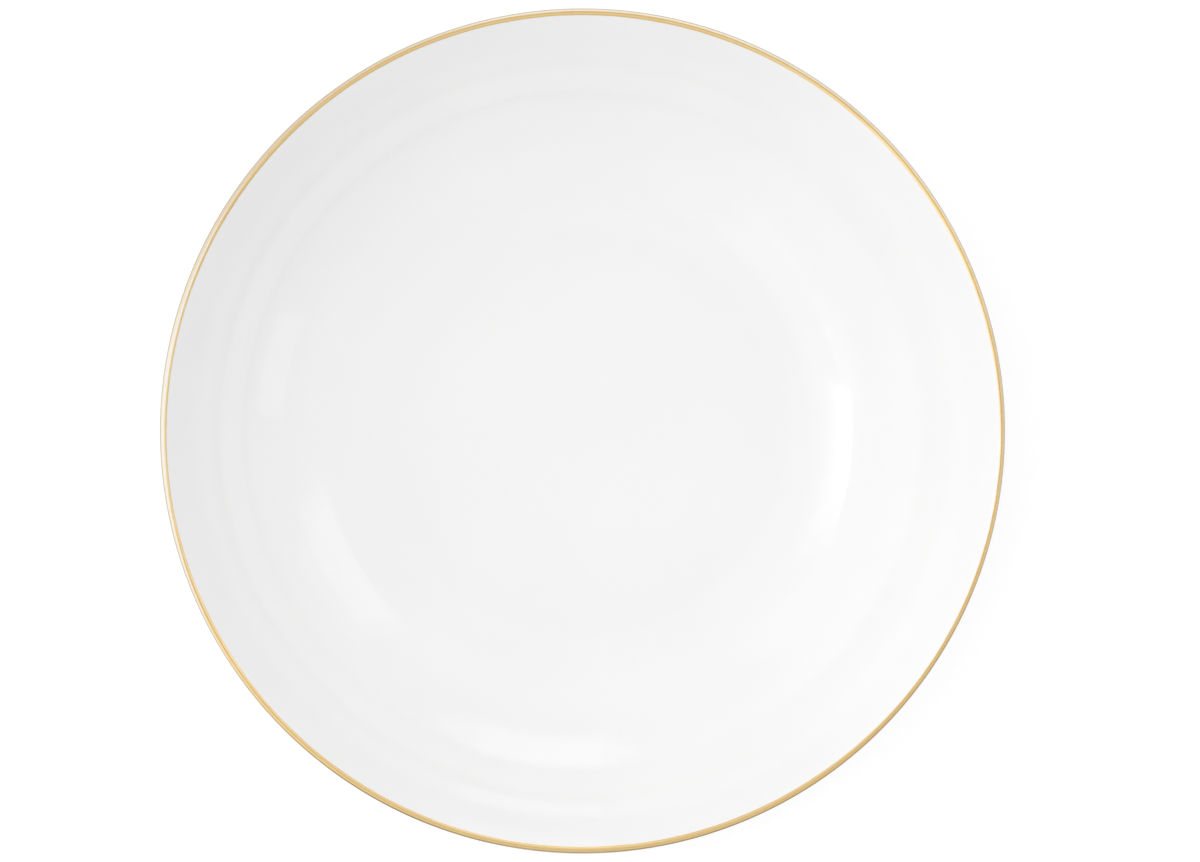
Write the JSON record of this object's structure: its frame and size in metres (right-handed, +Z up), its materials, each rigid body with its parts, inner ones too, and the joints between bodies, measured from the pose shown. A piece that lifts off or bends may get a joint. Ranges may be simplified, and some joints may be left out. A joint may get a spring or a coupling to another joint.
{
  "type": "serving bowl",
  "caption": "Low round white porcelain serving bowl with a gold line round its lip, standing on a foot ring that is bare where it touches the table.",
  "frame": {"origin": "centre of the foot ring on the surface that the bowl stands on", "axes": "+Z up along the axis of the bowl, towards the lip; the bowl is the same all round, so +X and +Y are free"},
  "size_m": [0.28, 0.28, 0.056],
  "materials": {
    "bare_porcelain": "matt, fired and unglazed",
    "white_glaze": "clear gloss over white clay",
    "gold": "burnished gilding"
  },
  "bodies": {
    "root": {"porcelain_body": "bare_porcelain", "foot_ring": "bare_porcelain", "inner_glaze": "white_glaze", "outer_glaze": "white_glaze", "base_glaze": "white_glaze", "gold_rim_band": "gold"}
  },
  "joints": []
}
